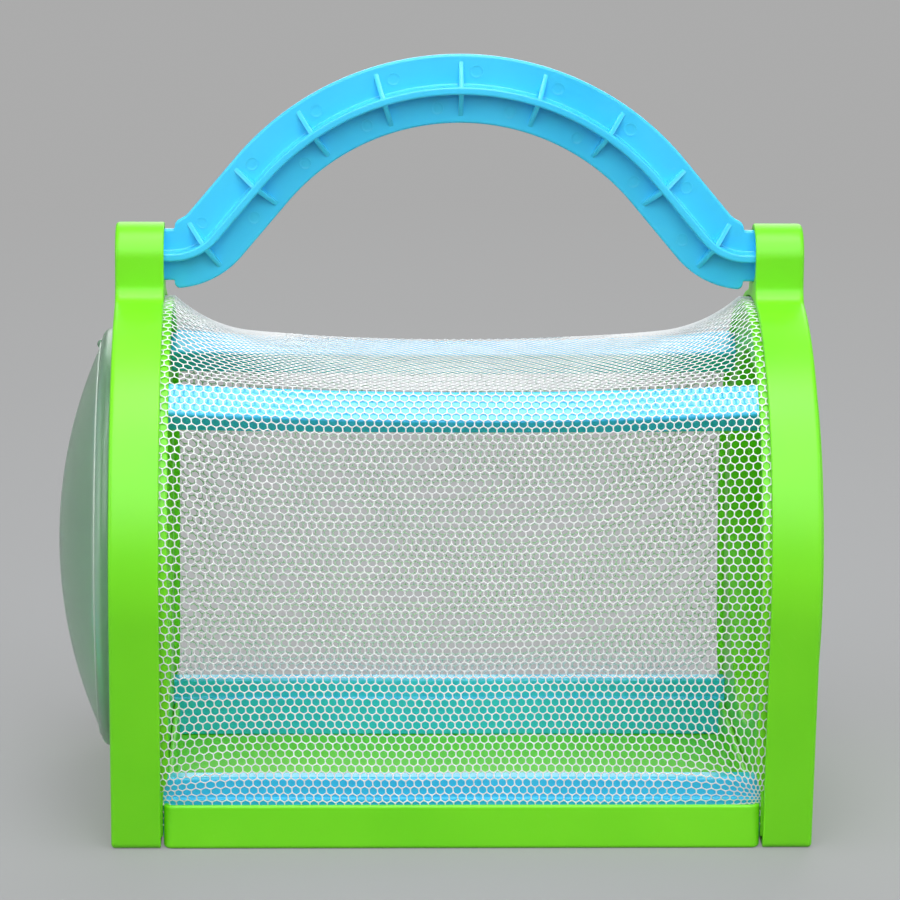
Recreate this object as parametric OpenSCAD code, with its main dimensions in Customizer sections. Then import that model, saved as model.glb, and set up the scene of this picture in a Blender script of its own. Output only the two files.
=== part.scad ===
/* [Cage] */
// Clear length between the two net hoops
clear_len = 145; // [136:1:160]
// Radius of the arched top of an end frame
arch_r = 62.3; // [60:0.1:65]
// Height of the arch's centre above the table
arch_z = 65.5; // [63:0.5:69]
// Half width of an end frame at the table
foot_half = 53.7; // [52:0.1:56]

/* [End frames] */
// Depth of an end frame along the cage
frame_depth = 12; // [10:0.5:16]
// Thickness of an end frame's flange
frame_wall = 1.4; // [1.2:0.1:1.8]
// Thickness of an end frame's outer face
face_t = 2; // [1.4:0.1:3]
// Radius of the round hole in both ends
hole_r = 46.9; // [44:0.1:47.5]
// Radius of the ear that holds the handle
ear_r = 8; // [7.9:0.1:9]
// Height of the handle's axis above the arch's top
ear_rise = 9.3; // [7.5:0.1:12]
// Radius of the hollow curve from the ear to the arch
ear_fillet_r = 4; // [3:0.5:7]

/* [Net hoops] */
// How far a hoop stands out of its frame, into the cage
hoop_proud = 0.5; // [0.3:0.1:1]
// Thickness of a hoop's plate
hoop_t = 2; // [1.4:0.1:2.6]
// Thickness of a hoop's rim
hoop_rim_t = 1.6; // [1.2:0.1:2]
// Depth of a hoop's rim along the cage
hoop_rim_depth = 7; // [4:0.5:8]
// How far a hoop's lip, under the net, stands out of its plate
lip_proud = 1.5; // [0.8:0.1:2]
// Thickness of the collar round the hole
collar_t = 1.6; // [1.2:0.1:1.8]
// Room for the net between hoop and frame
net_slot = 1; // [0.9:0.1:1.2]

/* [Base tray] */
// Thickness of the tray's floor
floor_t = 2; // [1.4:0.1:3]
// Height of the tray's walls
tray_h = 10.9; // [9:0.1:12]
// Thickness of the tray's walls
tray_wall = 1.4; // [1.2:0.1:1.6]
// Gap between the tray's ends and the hoops
tray_gap = 0.2; // [0.1:0.1:0.6]

/* [Upper rails] */
// Width of an upper rail's outer face
upper_w = 9; // [8:0.2:9]
// Depth of an upper rail, towards the cage's middle
upper_d = 7.5; // [6.5:0.5:7.5]
// Direction of an upper rail from the arch's centre, in degrees above level
upper_at = 47; // [45:0.5:48]
// Tilt of an upper rail's outer face, in degrees
upper_tilt = 46; // [45:1:50]
// How far an upper rail's middle lies in from the arch
upper_in = 6.8; // [6.8:0.1:7.6]

/* [Lower rails] */
// Height of a lower rail's top above the table
lower_top = 17; // [15:0.5:20]
// Thickness of a lower rail
lower_d = 7; // [6:0.5:8]
// Height of a lower rail's thin top part
lower_tongue = 5; // [3:0.5:7]
// Depth of the step under the thin top part
lower_step = 0.8; // [0.4:0.1:1.2]

/* [Pegs] */
// Radius of a rail's peg
peg_r = 2; // [1.5:0.1:2.2]
// Length of a peg
peg_len = 7; // [4:0.5:8]
// Wall of the boss round a peg
peg_boss = 1.4; // [1:0.1:1.6]
// How far an upper rail's peg sits in from the rail's middle
peg_in = 1.4; // [1:0.1:2]
// Radius of a tray's peg
tray_peg_r = 1.6; // [1.2:0.1:1.8]
// Half the distance between a tray's two pegs at one end
tray_peg_y = 28; // [15:1:36]

/* [Netting] */
// Thickness of the net
net_t = 0.5; // [0.4:0.05:0.5]
// Share of a mesh's half width that its strand takes up
net_strand = 0.09; // [0.07:0.01:0.14]
// Meshes along the cage
net_cols = 10; // [8:1:10]
// Mesh rows up a side
net_side_rows = 7; // [5:1:7]
// Mesh rows across the top, both rails included
net_top_rows = 7; // [5:2:7]
// Height of the net's lower edge above the table
net_low = 5; // [4:0.5:7]
// Gap from the net's middle to an upper rail's face
net_lift = 0.7; // [0.6:0.1:1]
// Length over which the net passes from the arch to the straight rails
net_fade = 14; // [8:1:20]

/* [Handle] */
// Radius of the crown's middle line
crown_r = 64; // [60:0.5:68]
// Turn of the crown to each side, in degrees
crown_turn = 50; // [48:1:52]
// Radius of the outward bend at the handle's ends
bend_r = 14; // [12:0.5:16]
// Half width of the handle's web
band_half = 8.5; // [7.5:0.1:9]
// Thickness of the handle's web
web_t = 2; // [1.6:0.1:3]
// Thickness of the rib along the middle line
rib_t = 2; // [1.4:0.1:2.6]
// Half height of the rib, across the web
rib_half = 5.6; // [4:0.1:5.8]
// Thickness of a cross rib
cross_t = 1.2; // [0.8:0.1:2]
// Distance between cross ribs along the middle line
cross_pitch = 19.3; // [18:0.1:20]
// How far a cross rib stops short of the web's edge
cross_short = 1.2; // [0.6:0.1:2.5]
// How far a cross rib's top stays below the rib's edge
cross_low = 0.3; // [0.1:0.1:1]
// Length of the narrow neck between web and ear
neck_len = 2.5; // [2:0.5:5]
// How far the neck stays inside its pin's edge
neck_in = 0.2; // [0.2:0.1:1]
// Radius of the handle's pivot pin
pin_r = 6.6; // [6.1:0.05:6.7]
// Clearance of the pivot pin in its ear
pin_gap = 0.08; // [0.02:0.01:0.1]
// Gap between a pin's ends and its ear
pin_end_gap = 0.4; // [0.3:0.1:1]
// Distance from the end of the handle's bend to an ear
bend_gap = 1.8; // [1.4:0.1:3]

/* [Domed lid] */
// Radius of the lid's rim
rim_r = 52.2; // [51:0.1:55]
// Thickness of the lid's rim
rim_t = 3.4; // [2.4:0.1:4.5]
// Radius of the rim's rounded edge
rim_round = 1.2; // [0.6:0.1:1.2]
// Radius of the dome at the rim
dome_r = 49; // [48.5:0.5:50]
// Height of the dome above the rim
dome_h = 10.8; // [9:0.1:16]
// Thickness of the dome and the lid's skirt
dome_t = 1.4; // [1:0.1:2]
// Depth of the skirt that plugs into the hole
skirt_len = 8; // [5:0.5:9]
// Radius of the small index nub on the rim
nub_r = 1.1; // [0.8:0.1:1.4]
// Gap round the lid's skirt and under its rim
lid_gap = 0.3; // [0.2:0.05:0.4]

/* [Right end cap] */
// Radius of the cap's lip
cap_r = 50.5; // [49.5:0.5:54]
// Thickness of the cap's lip
cap_t = 1.6; // [1.2:0.1:2.4]

/* [Hidden] */
fit_gap = 0.1;
net_room = 0.35;
rail_room = 0.5;
lip_gap = 1;
join = 1;
eps = 0.02;
$fn = 96;
arch_steps = 22;
fillet_steps = 6;
ear_steps = 12;
crown_steps = 18;
bend_steps = 8;
hoop_x = clear_len / 2;
frame_in = hoop_x + hoop_proud;
frame_out = frame_in + frame_depth;
hoop_off = frame_wall + net_slot;
net_off = frame_wall + net_slot / 2;
// direction of a frame's straight side, tangent to the arch
side_dir = 180 - atan2(arch_z, foot_half) - asin(arch_r / norm([foot_half, arch_z]));
tan_at = side_dir - 90;
function tan_pt(d) = (arch_r - d) * [cos(tan_at), sin(tan_at)] + [0, arch_z];
function side_y(d, z) = tan_pt(d)[0] + (z - tan_pt(d)[1]) / tan(side_dir);

// centre of the hollow curve between ear and arch
ear_up = arch_r + ear_rise;
ear_z = arch_z + ear_up;
fillet_y = ear_r + ear_fillet_r;
fillet_up = sqrt((arch_r + ear_fillet_r) ^ 2 - fillet_y ^ 2);

// lower rails stand between the net and the cage's middle
tray_in = foot_half - tray_wall;
lower_out = tray_in - net_t - 2 * net_room;
lower_in = lower_out - lower_d;
lower_z = floor_t + fit_gap;
lower_peg = [(lower_in + lower_out) / 2, (lower_z + lower_top) / 2];
upper_mid = (arch_r - upper_in) * [cos(upper_at), sin(upper_at)] + [0, arch_z];
rail_n = [cos(upper_tilt), sin(upper_tilt)];
rail_s = [sin(upper_tilt), -cos(upper_tilt)];
upper_peg = upper_mid - rail_n * peg_in;
tray_peg = [tray_peg_y, hoop_off + tray_peg_r + peg_boss];

// the net's middle surface, along half of a cross-section
face_pt = upper_mid + rail_n * (upper_d / 2 + net_lift);
corner_low = face_pt + rail_s * upper_w / 2;
corner_top = face_pt - rail_s * upper_w / 2;
net_foot = [(tray_in + lower_out) / 2, net_low];
net_bend = [net_foot[0], lower_top + net_lift / 2];
net_x = hoop_x - lip_proud - 2 * fit_gap;
side_up = net_bend[1] - net_low;
side_len = side_up + norm(corner_low - net_bend);
top_len = 2 * (upper_w + corner_top[0]);
corner_at = atan2(corner_low[1] - arch_z, corner_low[0]);
net_arch_r = arch_r - net_off;
straight_len = (tan_pt(net_off)[1] - net_bend[1]) / sin(side_dir);
arc_len = net_arch_r * (corner_at - tan_at) * PI / 180;

// the handle's middle line: crown, straight and bend
bend_end = frame_in - bend_gap;
line_len = (bend_end - (crown_r + bend_r) * sin(crown_turn)) / cos(crown_turn);
crown_arc = crown_r * crown_turn * PI / 180;
crown_z = ear_z + bend_r * (1 - cos(crown_turn)) + line_len * sin(crown_turn) - crown_r * cos(crown_turn);
web_end = frame_in - neck_len;
function bend_turn(s) = crown_turn - (s - crown_arc - line_len) / bend_r * 180 / PI;
// place and slope of the middle line at length s from the crown's top
function line_at(s) =
  s <= crown_arc
    ? let (a = s / crown_r * 180 / PI) [crown_r * sin(a), crown_z + crown_r * cos(a), a]
    : s <= crown_arc + line_len
      ? let (l = s - crown_arc)
        [crown_r * sin(crown_turn) + l * cos(crown_turn),
         crown_z + crown_r * cos(crown_turn) - l * sin(crown_turn), crown_turn]
      : let (a = bend_turn(s)) [bend_end - bend_r * sin(a), ear_z + bend_r * (1 - cos(a)), a];

dome_sphere = (dome_r ^ 2 + dome_h ^ 2) / (2 * dome_h);
green = [0.45, 0.86, 0.13];
blue = [0.07, 0.66, 0.9];
white = [0.93, 0.94, 0.95];
clear = [0.7, 0.82, 0.76, 0.45];

// a shape drawn in Y and Z, raised along X from x0
module along_x(x0, length) {
  translate([x0, 0, 0]) rotate([90, 0, 90]) linear_extrude(length) children();
}

module disc_x(x0, length, r, at = [0, arch_z]) {
  translate([x0, at[0], at[1]]) rotate([0, 90, 0]) cylinder(r = r, h = length);
}

module mirror_y() {
  children();
  mirror([0, 1, 0]) children();
}

// outline of an end, drawn in from the outer edge by d
module arch_shape(d) {
  translate([0, arch_z]) circle(r = arch_r - d);
  polygon([[-side_y(d, d), d], [side_y(d, d), d], tan_pt(d), [-tan_pt(d)[0], tan_pt(d)[1]]]);
}

function arc(mid, r, from, to, n) =
  [for (i = [0 : n]) let (a = from + (to - from) * i / n) mid + r * [cos(a), sin(a)]];
// half of a shape that is the same on both sides, made whole
function both_sides(half) = concat(half,
  [for (i = [len(half) - 1 : -1 : 0]) if (half[i][0] > eps) [-half[i][0], half[i][1]]]);

// an end frame's outline: foot, side, arch, hollow curve, the ear's straight side and its round top
module frame_shape() {
  fillet_mid = [fillet_y, arch_z + fillet_up];
  from_arch = atan2(fillet_up, fillet_y);
  polygon(both_sides(concat(
    [[foot_half, 0]],
    arc([0, arch_z], arch_r, tan_at, from_arch, arch_steps),
    arc(fillet_mid, ear_fillet_r, from_arch + 180, 180, fillet_steps),
    arc([0, ear_z], ear_r, 0, 90, ear_steps)
  )));
}

module end_frame() {
  difference() {
    along_x(frame_in, frame_depth) frame_shape();
    along_x(frame_in - join, frame_depth - face_t + join) arch_shape(frame_wall);
    disc_x(frame_in, frame_depth + join, hole_r);
    disc_x(frame_in - join, frame_depth - face_t + join, pin_r + pin_gap, [0, ear_z]);
  }
}

module peg_set(r, x0, length, extra) {
  for (s = [-1, 1]) {
    disc_x(x0, length, r + extra, [s * upper_peg[0], upper_peg[1]]);
    disc_x(x0, length, r + extra, [s * lower_peg[0], lower_peg[1]]);
  }
}

module tray_peg_set(x0, length, extra) {
  for (s = [-1, 1]) disc_x(x0, length, tray_peg_r + extra, [s * tray_peg[0], tray_peg[1]]);
}

// the band round a hoop that the net lies on
module hoop_band() {
  difference() {
    arch_shape(hoop_off);
    arch_shape(hoop_off + hoop_rim_t);
  }
}

module net_hoop() {
  lip_low = lower_top + lip_gap;
  difference() {
    union() {
      along_x(hoop_x, hoop_t) arch_shape(hoop_off);
      along_x(hoop_x, hoop_rim_depth) hoop_band();
      intersection() {
        along_x(hoop_x - lip_proud, lip_proud + join) hoop_band();
        translate([0, -arch_r, lip_low]) cube([2 * hoop_x, 2 * arch_r, 2 * arch_r]);
      }
      disc_x(hoop_x, frame_out - face_t - hoop_x - fit_gap, hole_r + collar_t);
      peg_set(peg_r, hoop_x, peg_len + join, peg_boss);
      tray_peg_set(hoop_x, peg_len + join, peg_boss);
    }
    disc_x(hoop_x - join, frame_depth + 2 * join, hole_r);
    peg_set(peg_r, hoop_x - join, peg_len + 3 * join, fit_gap);
    tray_peg_set(hoop_x - join, peg_len + 3 * join, fit_gap);
    mirror_y() upper_bar(hoop_x, fit_gap);
  }
}

module right_end_frame() {
  color(green) end_frame();
}

module left_end_frame() {
  color(green) mirror([1, 0, 0]) end_frame();
}

module right_net_hoop() {
  color(green) net_hoop();
}

module left_net_hoop() {
  color(green) mirror([1, 0, 0]) net_hoop();
}

module base_tray() {
  tray_x = hoop_x - tray_gap;
  end_half = lower_in - rail_room;
  color(green) {
    translate([-tray_x, -foot_half, 0]) cube([2 * tray_x, 2 * foot_half, floor_t]);
    mirror_y() translate([-tray_x, tray_in, 0]) cube([2 * tray_x, tray_wall, tray_h]);
    for (s = [0, 1]) mirror([s, 0, 0]) {
      translate([tray_x - tray_wall, -end_half, 0]) cube([tray_wall, 2 * end_half, tray_h]);
      tray_peg_set(tray_x - tray_wall, tray_wall + peg_len, 0);
    }
  }
}

module rail_pegs(at) {
  for (s = [0, 1]) mirror([s, 0, 0]) disc_x(hoop_x - fit_gap - join, peg_len + join, peg_r, at);
}

// an upper rail's plain bar, larger all round by extra
module upper_bar(half, extra) {
  translate([0, upper_mid[0], upper_mid[1]]) rotate([upper_tilt, 0, 0])
    cube([2 * half, upper_d + 2 * extra, upper_w + 2 * extra], center = true);
}

module upper_rail() {
  color(blue) {
    upper_bar(hoop_x - fit_gap, 0);
    rail_pegs(upper_peg);
  }
}

module lower_rail() {
  step_z = lower_top - lower_tongue;
  color(blue) {
    along_x(-hoop_x + fit_gap, clear_len - 2 * fit_gap) polygon([
      [lower_in, lower_z], [lower_out, lower_z], [lower_out, step_z], [lower_out - lower_step, step_z],
      [lower_out - lower_step, lower_top], [lower_in + lower_step, lower_top],
      [lower_in + lower_step, step_z], [lower_in, step_z]
    ]);
    rail_pegs(lower_peg);
  }
}

module rear_upper_rail() {
  upper_rail();
}

module front_upper_rail() {
  mirror([0, 1, 0]) upper_rail();
}

module rear_lower_rail() {
  lower_rail();
}

module front_lower_rail() {
  mirror([0, 1, 0]) lower_rail();
}

// share of the arch in the net's shape, 1 at a hoop
function arch_share(x) = exp(-(net_x - abs(x)) / net_fade);

function side_mid(s) = s <= side_up
  ? [net_foot[0], net_low + s]
  : net_bend + (corner_low - net_bend) * (s - side_up) / (side_len - side_up);
// up a frame's side and round its arch, eased in from the tray's wall
function side_end(s) = s <= side_up
  ? side_mid(s)
  : let (q = (s - side_up) / (side_len - side_up), l = q * (straight_len + arc_len),
      start = [side_y(net_off, net_bend[1]), net_bend[1]],
      a = tan_at + (l - straight_len) / net_arch_r * 180 / PI)
    (l <= straight_len
      ? start + l * [cos(side_dir), sin(side_dir)]
      : net_arch_r * [cos(a), sin(a)] + [0, arch_z])
    + (net_bend - start) * (1 - q) ^ 2;
function half_top_mid(s) = s <= upper_w
  ? corner_low + (corner_top - corner_low) * s / upper_w
  : [corner_top[0] - (s - upper_w), corner_top[1]];
function top_mid(s) = s <= top_len / 2
  ? half_top_mid(s)
  : let (p = half_top_mid(top_len - s)) [-p[0], p[1]];
function top_end(s) = let (a = corner_at + (180 - 2 * corner_at) * s / top_len)
  net_arch_r * [cos(a), sin(a)] + [0, arch_z];

function net_point(top, x, s) = let (
  k = arch_share(x),
  q = (top ? top_end(s) : side_end(s)) * k + (top ? top_mid(s) : side_mid(s)) * (1 - k)
) [x, q[0], q[1]];
function unit(v) = v / norm(v);
// a point raised from the net's middle surface by h
function net_skin(top, p, h) = let (
  dx = net_point(top, p[0] + eps, p[1]) - net_point(top, p[0] - eps, p[1]),
  ds = net_point(top, p[0], p[1] + eps) - net_point(top, p[0], p[1] - eps)
) net_point(top, p[0], p[1]) + unit(cross(dx, ds)) * h;

// heights of the mesh corners: each row is an upright side, with slanted sides between rows
function rows_between(from, to, n) = let (a = (to - from) / (1.5 * n + 0.5))
  [for (i = [0 : n - 1]) [from + a * (0.5 + 1.5 * i), from + a * (1.5 + 1.5 * i)]];
net_hem = 0.3;
side_rows = let (n = net_side_rows - 1, a = (side_len - net_hem - side_up) / (1.5 * n))
  concat([[0, side_up]],
    [for (i = [0 : n - 1]) [side_up + a * (0.5 + 1.5 * i), side_up + a * (1.5 + 1.5 * i)]]);
top_rows = concat([[net_hem, upper_w]], rows_between(upper_w, top_len - upper_w, net_top_rows - 2),
  [[top_len - upper_w, top_len - net_hem]]);

// corners of one mesh, anticlockwise, in length along the cage and length up the net
function mesh_cell(rows, i, j) = let (
  pitch = 2 * net_x / net_cols,
  odd = i % 2,
  left = max(-net_x, -net_x + pitch * (j - odd / 2)),
  right = min(net_x, -net_x + pitch * (j + 1 - odd / 2)),
  tip = -net_x + pitch * (j + 0.5 - odd / 2),
  low = i > 0 ? rows[i - 1][1] : undef,
  high = i < len(rows) - 1 ? rows[i + 1][0] : undef,
  half_left = odd == 1 && j == 0,
  half_right = odd == 1 && j == net_cols,
  tip_x = half_left ? -net_x : half_right ? net_x : tip
) concat(
  is_undef(low) ? [] : [[tip_x, low]],
  half_right ? [] : [[right, rows[i][0]], [right, rows[i][1]]],
  is_undef(high) ? [] : [[tip_x, high]],
  half_left ? [] : [[left, rows[i][1]], [left, rows[i][0]]]
);
function middle(c) = [for (k = [0, 1]) (max([for (p = c) p[k]]) + min([for (p = c) p[k]])) / 2];
function on_edge(a, b, rows) = abs(a[0] - b[0]) < eps && abs(abs(a[0]) - net_x) < eps
  || abs(a[1] - b[1]) < eps && (abs(a[1] - rows[0][0]) < eps || abs(a[1] - rows[len(rows) - 1][1]) < eps);
function two(a, b, c, d) = [[a, b, c], [a, c, d]];

module net_panel(top, rows) {
  cells = [for (i = [0 : len(rows) - 1]) for (j = [0 : net_cols - 1 + i % 2]) mesh_cell(rows, i, j)];
  // each corner gives four points: strand and gap, outside and inside
  points = [for (c = cells) for (p = c) let (g = p + (middle(c) - p) * net_strand)
    for (q = [[p, 1], [g, 1], [p, -1], [g, -1]]) net_skin(top, q[0], q[1] * net_t / 2)];
  starts = [for (i = 0, n = 0; i < len(cells); n = n + 4 * len(cells[i]), i = i + 1) n];
  faces = [for (i = [0 : len(cells) - 1]) let (c = cells[i], n = len(c))
    for (k = [0 : n - 1]) let (m = (k + 1) % n, a = starts[i] + 4 * k, b = starts[i] + 4 * m)
      for (f = concat(
        two(a, a + 1, b + 1, b),
        two(a + 2, b + 2, b + 3, a + 3),
        two(a + 1, a + 3, b + 3, b + 1),
        on_edge(c[k], c[m], rows) ? two(a, b, b + 2, a + 2) : []
      )) f];
  color(white) polyhedron(points, faces);
}

module rear_net() {
  net_panel(false, side_rows);
}

module front_net() {
  mirror([0, 1, 0]) net_panel(false, side_rows);
}

module top_net() {
  net_panel(true, top_rows);
}

// points and slopes along half of the handle's middle line, on into the pin
bend_arc = bend_r * crown_turn * PI / 180;
tenon_x = frame_in + pin_end_gap;
handle_run = concat([for (i = [0 : crown_steps]) line_at(crown_arc * i / crown_steps)],
  [for (i = [0 : bend_steps]) line_at(crown_arc + line_len + bend_arc * i / bend_steps)],
  [[tenon_x + join, ear_z, 0]]);
// one edge of a strip along that line, from the left end to the right end
function strip_edge(h) = let (half = [for (p = handle_run) [p[0] + h * sin(p[2]), p[1] + h * cos(p[2])]])
  concat([for (i = [len(half) - 1 : -1 : 0]) if (half[i][0] > eps) [-half[i][0], half[i][1]]], half);
function backwards(list) = [for (i = [len(list) - 1 : -1 : 0]) list[i]];

// a strip of the given half width along the handle's middle line
module handle_strip(half) {
  polygon(concat(strip_edge(half), backwards(strip_edge(-half))));
}

// a shape drawn in X and Z, raised by t each way from Y = 0
module upright(t) {
  rotate([90, 0, 0]) linear_extrude(2 * t, center = true) children();
}

module cross_rib(s) {
  p = line_at(abs(s));
  half = band_half - cross_short;
  high = rib_half - cross_low;
  translate([sign(s) * p[0], 0, p[1]]) rotate([0, sign(s) * p[2], 0])
    translate([-cross_t / 2, 0, 0]) rotate([90, 0, 90]) linear_extrude(cross_t) polygon([
      [0, half], [-high, 0], [0, -half], [high, 0]
    ]);
}

module handle() {
  pin_end = frame_out - face_t - pin_end_gap;
  neck_half = pin_r - neck_in;
  color(blue) {
    upright(web_t / 2) intersection() {
      handle_strip(band_half);
      translate([-web_end, 0]) square([2 * web_end, 2 * ear_z]);
    }
    upright(rib_half) handle_strip(rib_t / 2);
    for (i = [-4 : 4]) cross_rib(i * cross_pitch);
    for (s = [0, 1]) mirror([s, 0, 0]) {
      translate([web_end - join, -web_t / 2, ear_z - neck_half])
        cube([tenon_x - web_end + 2 * join, web_t, 2 * neck_half]);
      disc_x(tenon_x, pin_end - tenon_x, pin_r, [0, ear_z]);
    }
  }
}

// the lid is turned about its own axis, then laid along -X
module domed_lid() {
  skirt_r = hole_r - lid_gap;
  color(clear) translate([-frame_out - lid_gap, 0, arch_z]) rotate([0, -90, 0]) {
    rotate_extrude() {
      translate([skirt_r - dome_t, -skirt_len]) square([dome_t, skirt_len + dome_t]);
      translate([skirt_r - dome_t, 0]) square([rim_r - skirt_r + dome_t, rim_t - rim_round]);
      translate([skirt_r - dome_t, 0]) square([rim_r - rim_round - skirt_r + dome_t, rim_t]);
      translate([rim_r - rim_round, rim_t - rim_round]) circle(r = rim_round);
    }
    intersection() {
      translate([0, 0, rim_t + dome_h - dome_sphere]) difference() {
        sphere(r = dome_sphere);
        sphere(r = dome_sphere - dome_t);
      }
      translate([0, 0, rim_t - dome_t]) cylinder(r = dome_r, h = dome_h + 2 * dome_t);
    }
    translate([dome_r, 0, rim_t]) sphere(r = nub_r);
  }
}

module right_end_cap() {
  skirt_r = hole_r - fit_gap;
  color(green) translate([frame_out + fit_gap, 0, arch_z]) rotate([0, 90, 0]) {
    cylinder(r = cap_r, h = cap_t);
    translate([0, 0, -skirt_len]) difference() {
      cylinder(r = skirt_r, h = skirt_len + cap_t / 2);
      translate([0, 0, -join]) cylinder(r = skirt_r - dome_t, h = skirt_len + join);
    }
  }
}

left_end_frame();
right_end_frame();
left_net_hoop();
right_net_hoop();
base_tray();
front_upper_rail();
rear_upper_rail();
front_lower_rail();
rear_lower_rail();
front_net();
top_net();
rear_net();
handle();
domed_lid();
right_end_cap();
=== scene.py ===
import math
import bpy
import numpy as np
from mathutils import Matrix


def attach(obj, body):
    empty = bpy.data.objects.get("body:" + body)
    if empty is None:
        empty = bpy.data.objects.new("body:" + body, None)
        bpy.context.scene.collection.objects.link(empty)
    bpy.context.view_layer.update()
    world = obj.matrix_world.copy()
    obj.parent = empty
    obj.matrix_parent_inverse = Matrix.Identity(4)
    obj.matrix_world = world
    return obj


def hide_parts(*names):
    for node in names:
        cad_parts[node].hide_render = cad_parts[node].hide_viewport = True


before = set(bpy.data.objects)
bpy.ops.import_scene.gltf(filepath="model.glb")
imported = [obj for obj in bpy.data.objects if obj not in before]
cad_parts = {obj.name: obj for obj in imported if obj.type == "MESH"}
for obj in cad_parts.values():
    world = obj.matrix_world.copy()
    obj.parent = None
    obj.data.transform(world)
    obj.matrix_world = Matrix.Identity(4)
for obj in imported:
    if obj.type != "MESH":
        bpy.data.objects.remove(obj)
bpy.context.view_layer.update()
mm = 0.001  # all sizes below are in millimetres
flatHold = 0.3  # a ring or point this far past a rounding keeps the flat beside it flat
tiny = 1e-9  # keeps a length from being nothing
print("frame loaded,", len(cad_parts), "nodes")


# volume inside the faces: a sixth of the triple product of the corners, summed over the triangles that
# share each face's first corner
def signedVolume(points, faceSets):
    total = 0.0
    for faces in faceSets:
        for k in range(1, faces.shape[1] - 1):
            a, b, c = points[faces[:, 0]], points[faces[:, k]], points[faces[:, k + 1]]
            total += np.einsum("ij,ij->i", a, np.cross(b, c)).sum() / 6
    return total


# puts points and faces into a new mesh object at the origin: faces with a negative volume are turned round,
# and each face's loop starts where the sizes of those before it add up to
def putMesh(name, points, faceSets, material, sharp=35):
    points = np.asarray(points, dtype=float).reshape(-1, 3)
    if signedVolume(points, faceSets) < 0:
        faceSets = [faces[:, ::-1] for faces in faceSets]
    corners = np.concatenate([faces.ravel() for faces in faceSets]).astype(np.int32)
    sizes = np.concatenate([np.full(len(faces), faces.shape[1]) for faces in faceSets])
    starts = (np.cumsum(sizes) - sizes).astype(np.int32)
    mesh = bpy.data.meshes.new(name)
    mesh.vertices.add(len(points))
    mesh.vertices.foreach_set("co", (points * mm).astype(np.float32).ravel())
    mesh.loops.add(len(corners))
    mesh.loops.foreach_set("vertex_index", corners)
    mesh.polygons.add(len(sizes))
    mesh.polygons.foreach_set("loop_start", starts)
    mesh.update(calc_edges=True)
    mesh.validate()
    mesh.polygons.foreach_set("use_smooth", np.ones(len(mesh.polygons), dtype=bool))
    mesh.set_sharp_from_angle(angle=math.radians(sharp))
    mesh.materials.append(material)
    piece = bpy.data.objects.new(name, mesh)
    bpy.context.scene.collection.objects.link(piece)
    return piece


# quads between each ring of n points and the next, for separate lofts of k rings: point j of ring i has the
# number i times n plus j
def ringFaces(count, k, n, closed):
    i = np.arange(k if closed else k - 1)[None, :, None]
    j = np.arange(n)[None, None, :]
    base = (np.arange(count) * k * n)[:, None, None]
    after = (i + 1) % k
    turn = (j + 1) % n
    quads = [base + i * n + j, base + i * n + turn, base + after * n + turn, base + after * n + j]
    return np.stack([q + 0 * base for q in quads], -1).reshape(-1, 4)


# fans from the mean point of the first and the last ring of each loft
def capFaces(count, k, n):
    j = np.arange(n)[None, :]
    base = (np.arange(count) * k * n)[:, None]
    tip = (count * k * n + 2 * np.arange(count))[:, None] + 0 * j
    first = np.stack([base + (j + 1) % n, base + j, tip], -1)
    last = base + (k - 1) * n
    second = np.stack([last + j, last + (j + 1) % n, tip + 1], -1)
    return np.concatenate([first, second]).reshape(-1, 3)


# one flat face over the first and the last ring of each loft
def flatEnds(count, k, n):
    j = np.arange(n)[None, :]
    base = (np.arange(count) * k * n)[:, None]
    return np.concatenate([base + n - 1 - j, base + (k - 1) * n + j])


# a skin over rings of points, shaped (rings, points, 3) or (lofts, rings, points, 3), with a fan at both
# ends unless the last ring joins the first
def loft(name, rings, material, closed=False):
    rings = np.asarray(rings, dtype=float)
    rings = rings if rings.ndim == 4 else rings[None]
    count, k, n = rings.shape[:3]
    points = rings.reshape(-1, 3)
    sets = [ringFaces(count, k, n, closed)]
    if not closed:
        middles = np.stack([rings[:, 0].mean(axis=1), rings[:, -1].mean(axis=1)], 1)
        points = np.concatenate([points, middles.reshape(-1, 3)])
        sets.append(capFaces(count, k, n))
    return putMesh(name, points, sets, material)


# each row divided by its own length
def unitRows(rows):
    return rows / np.maximum(np.linalg.norm(rows, axis=-1, keepdims=True), tiny)


# arcs tangent to the two sides of each corner: the centre lies on the bisector, and the start and end
# radii are mixed by sines so that the points lie evenly along the arc
def cornerArcs(corner, toBack, toNext, radius, steps):
    theta = np.arccos(np.clip((toBack * toNext).sum(-1), -1, 1))[..., None]
    reach = radius[..., None] / np.tan(theta / 2)
    centre = corner + unitRows(toBack + toNext) * radius[..., None] / np.sin(theta / 2)
    start, end = corner + toBack * reach - centre, corner + toNext * reach - centre
    turn = (np.pi - theta)[..., None, :]
    t = np.linspace(0, 1, steps + 1)[:, None]
    mixed = np.sin((1 - t) * turn) * start[..., None, :] + np.sin(t * turn) * end[..., None, :]
    return centre[..., None, :] + mixed / np.sin(turn), reach


# a closed polygon with round corners, and one more point on each side of an arc to keep flats flat
def roundLoop(corners, radii, steps=4, hold=0.2):
    corners = np.asarray(corners, dtype=float)
    radii = np.broadcast_to(np.asarray(radii, dtype=float), corners.shape[:1])
    toBack = unitRows(np.roll(corners, 1, axis=0) - corners)
    toNext = unitRows(np.roll(corners, -1, axis=0) - corners)
    arcs, reach = cornerArcs(corners, toBack, toNext, radii, steps)
    before = corners + toBack * (reach + hold)
    beyond = corners + toNext * (reach + hold)
    return np.concatenate([before[:, None], arcs, beyond[:, None]], axis=1).reshape(-1, 2)


# a quarter round in even steps: pairs of 1 less the sine and 1 less the cosine of the turn
def quarterRound(steps):
    turn = np.linspace(0, np.pi / 2, steps)
    return np.stack([1 - np.sin(turn), 1 - np.cos(turn)], 1)


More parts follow.
